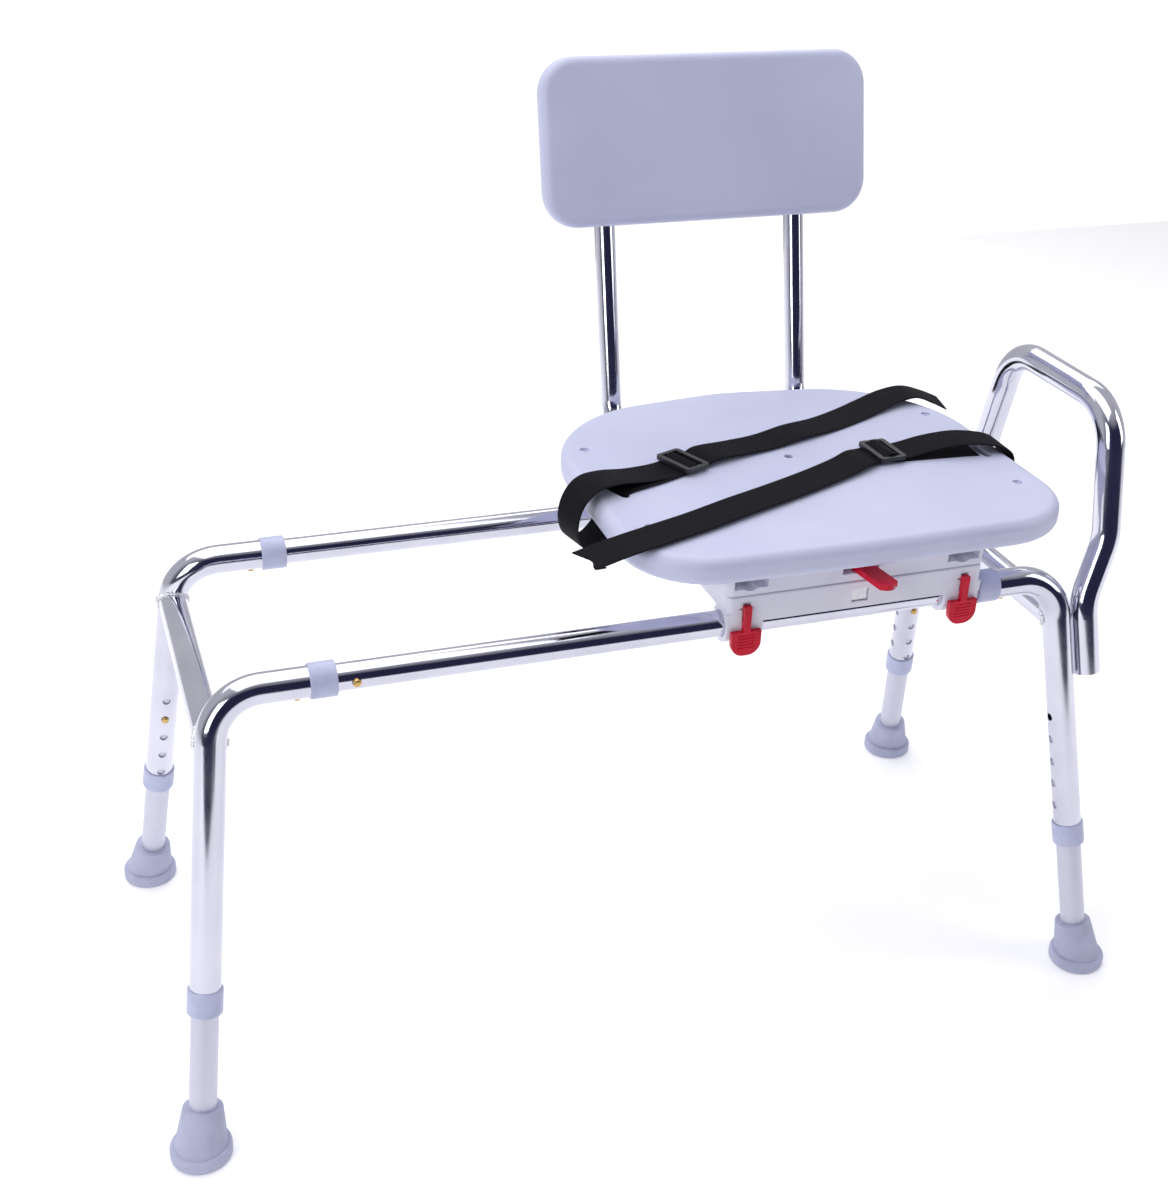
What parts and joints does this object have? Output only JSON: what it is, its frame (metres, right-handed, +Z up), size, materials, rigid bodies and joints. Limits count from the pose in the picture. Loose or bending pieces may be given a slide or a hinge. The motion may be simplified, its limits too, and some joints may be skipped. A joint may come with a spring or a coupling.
{
  "type": "bath transfer bench",
  "caption": "Bath transfer bench: splayed tube frame, seat that slides along rails and swivels, backrest, lap belt and grab bar.",
  "frame": {"origin": "middle of the box that the bench stands in, on the floor", "axes": "+X along the rails towards the grab bar, +Y towards the backrest, +Z up"},
  "size_m": [0.997, 0.581, 0.8694],
  "materials": {
    "polished_tube": "polished",
    "satin_tube": "satin anodised",
    "weld": "rippled weld bead",
    "grey_collar": "satin moulded",
    "rubber_tip": "matte moulded",
    "steel_hardware": "plated",
    "brass_button": "polished",
    "red_plastic": "gloss",
    "seat_plastic": "fine moulded grain",
    "white_plastic": "satin moulded",
    "webbing": "woven",
    "buckle_plastic": "satin moulded"
  },
  "bodies": {
    "frame": {"left_front_tube": "polished_tube", "left_rear_tube": "polished_tube", "right_front_tube": "polished_tube", "right_rear_tube": "polished_tube", "left_cross_tube": "polished_tube", "right_cross_tube": "polished_tube", "front_rail": "polished_tube", "rear_rail": "polished_tube", "rail_collars": "grey_collar", "leg_collars": "grey_collar", "grab_bar": "polished_tube", "weld_beads": "weld", "rail_button_springs": "steel_hardware"},
    "rail_button_left_front": {"rail_button_left_front": "brass_button"},
    "rail_button_left_rear": {"rail_button_left_rear": "brass_button"},
    "rail_button_right_front": {"rail_button_right_front": "brass_button"},
    "rail_button_right_rear": {"rail_button_right_rear": "brass_button"},
    "stop_button_front": {"stop_button_front": "brass_button"},
    "stop_button_rear": {"stop_button_rear": "brass_button"},
    "lower_leg_left_front": {"lower_leg_left_front": "satin_tube", "leg_tip_left_front": "rubber_tip", "leg_spring_left_front": "steel_hardware"},
    "leg_button_left_front": {"leg_button_left_front": "brass_button"},
    "lower_leg_left_rear": {"lower_leg_left_rear": "satin_tube", "leg_tip_left_rear": "rubber_tip", "leg_spring_left_rear": "steel_hardware"},
    "leg_button_left_rear": {"leg_button_left_rear": "brass_button"},
    "lower_leg_right_front": {"lower_leg_right_front": "satin_tube", "leg_tip_right_front": "rubber_tip", "leg_spring_right_front": "steel_hardware"},
    "leg_button_right_front": {"leg_button_right_front": "brass_button"},
    "lower_leg_right_rear": {"lower_leg_right_rear": "satin_tube", "leg_tip_right_rear": "rubber_tip", "leg_spring_right_rear": "steel_hardware"},
    "leg_button_right_rear": {"leg_button_right_rear": "brass_button"},
    "carriage": {"carriage_base": "white_plastic", "rail_glides": "white_plastic", "catch_plate": "steel_hardware", "latch_pins": "steel_hardware", "turntable_ring": "white_plastic", "pivot_bolt": "steel_hardware", "pivot_nut": "steel_hardware"},
    "latch_left": {"latch_left": "red_plastic"},
    "latch_right": {"latch_right": "red_plastic"},
    "seat": {"swivel_plate": "white_plastic", "seat_shell": "seat_plastic", "corner_plugs": "seat_plastic", "seat_screws": "steel_hardware", "lever_pin": "steel_hardware", "lever_spring": "steel_hardware", "back_post_left": "polished_tube", "back_post_right": "polished_tube", "post_bolts": "steel_hardware", "backrest_shell": "seat_plastic", "backrest_screws": "steel_hardware", "belt_left": "webbing", "belt_right": "webbing", "buckle_left": "buckle_plastic", "buckle_right": "buckle_plastic"},
    "swivel_lever": {"swivel_lever": "red_plastic"}
  },
  "joints": [
    {"name": "rail_button_left_front_press", "type": "slide", "parent": "frame", "child": "rail_button_left_front", "axis": [0, 0, 1], "range_m": [0, 0.0044], "stiffness_N_per_m": 600, "springref_m": -0.002, "deforming": ["rail_button_springs"]},
    {"name": "rail_button_left_rear_press", "type": "slide", "parent": "frame", "child": "rail_button_left_rear", "axis": [0, 0, 1], "range_m": [0, 0.0044], "stiffness_N_per_m": 600, "springref_m": -0.002, "deforming": ["rail_button_springs"]},
    {"name": "rail_button_right_front_press", "type": "slide", "parent": "frame", "child": "rail_button_right_front", "axis": [0, 0, 1], "range_m": [0, 0.0044], "stiffness_N_per_m": 600, "springref_m": -0.002, "deforming": ["rail_button_springs"]},
    {"name": "rail_button_right_rear_press", "type": "slide", "parent": "frame", "child": "rail_button_right_rear", "axis": [0, 0, 1], "range_m": [0, 0.0044], "stiffness_N_per_m": 600, "springref_m": -0.002, "deforming": ["rail_button_springs"]},
    {"name": "stop_button_front_press", "type": "slide", "parent": "frame", "child": "stop_button_front", "axis": [0, 1, 0], "range_m": [0, 0.0044], "stiffness_N_per_m": 600, "springref_m": -0.002},
    {"name": "stop_button_rear_press", "type": "slide", "parent": "frame", "child": "stop_button_rear", "axis": [0, -1, 0], "range_m": [0, 0.0044], "stiffness_N_per_m": 600, "springref_m": -0.002},
    {"name": "leg_height_left_front", "type": "slide", "parent": "frame", "child": "lower_leg_left_front", "axis": [-0.1168, -0.2021, -0.9724], "range_m": [-0.0254, 0.0762], "deforming": ["leg_spring_left_front", "leg_button_left_front"]},
    {"name": "leg_button_left_front_press", "type": "slide", "parent": "lower_leg_left_front", "child": "leg_button_left_front", "axis": [0.0241, -0.9794, 0.2007], "range_m": [0, 0.0044], "stiffness_N_per_m": 600, "springref_m": -0.002},
    {"name": "leg_height_left_rear", "type": "slide", "parent": "frame", "child": "lower_leg_left_rear", "axis": [-0.1168, 0.2021, -0.9724], "range_m": [-0.0254, 0.0762], "deforming": ["leg_spring_left_rear", "leg_button_left_rear"]},
    {"name": "leg_button_left_rear_press", "type": "slide", "parent": "lower_leg_left_rear", "child": "leg_button_left_rear", "axis": [0.0241, 0.9794, 0.2007], "range_m": [0, 0.0044], "stiffness_N_per_m": 600, "springref_m": -0.002},
    {"name": "leg_height_right_front", "type": "slide", "parent": "frame", "child": "lower_leg_right_front", "axis": [0.1168, -0.2021, -0.9724], "range_m": [-0.0254, 0.0762], "deforming": ["leg_spring_right_front", "leg_button_right_front"]},
    {"name": "leg_button_right_front_press", "type": "slide", "parent": "lower_leg_right_front", "child": "leg_button_right_front", "axis": [-0.0241, -0.9794, 0.2007], "range_m": [0, 0.0044], "stiffness_N_per_m": 600, "springref_m": -0.002},
    {"name": "leg_height_right_rear", "type": "slide", "parent": "frame", "child": "lower_leg_right_rear", "axis": [0.1168, 0.2021, -0.9724], "range_m": [-0.0254, 0.0762], "deforming": ["leg_spring_right_rear", "leg_button_right_rear"]},
    {"name": "leg_button_right_rear_press", "type": "slide", "parent": "lower_leg_right_rear", "child": "leg_button_right_rear", "axis": [-0.0241, 0.9794, 0.2007], "range_m": [0, 0.0044], "stiffness_N_per_m": 600, "springref_m": -0.002},
    {"name": "carriage_slide", "type": "slide", "parent": "frame", "child": "carriage", "axis": [1, 0, 0], "range_m": [-0.3424, 0]},
    {"name": "latch_left_flip", "type": "hinge", "parent": "carriage", "child": "latch_left", "pos_m": [0.071, -0.18905, 0.455], "axis": [-1, 0, 0], "range_deg": [0, 30], "stiffness_Nm_per_rad": 0.05, "springref_deg": -17.19},
    {"name": "latch_right_flip", "type": "hinge", "parent": "carriage", "child": "latch_right", "pos_m": [0.301, -0.18905, 0.455], "axis": [-1, 0, 0], "range_deg": [0, 30], "stiffness_Nm_per_rad": 0.05, "springref_deg": -17.19},
    {"name": "seat_swivel", "type": "hinge", "parent": "carriage", "child": "seat", "pos_m": [0.186, -0.04505, 0.4675], "axis": [0, 0, 1], "range_deg": [-40, 90]},
    {"name": "swivel_lever_turn", "type": "hinge", "parent": "seat", "child": "swivel_lever", "pos_m": [0.186, -0.15105, 0.48], "axis": [0, 0, -1], "range_deg": [0, 16], "stiffness_Nm_per_rad": 0.3, "springref_deg": -17.19, "deforming": ["lever_spring"]}
  ]
}
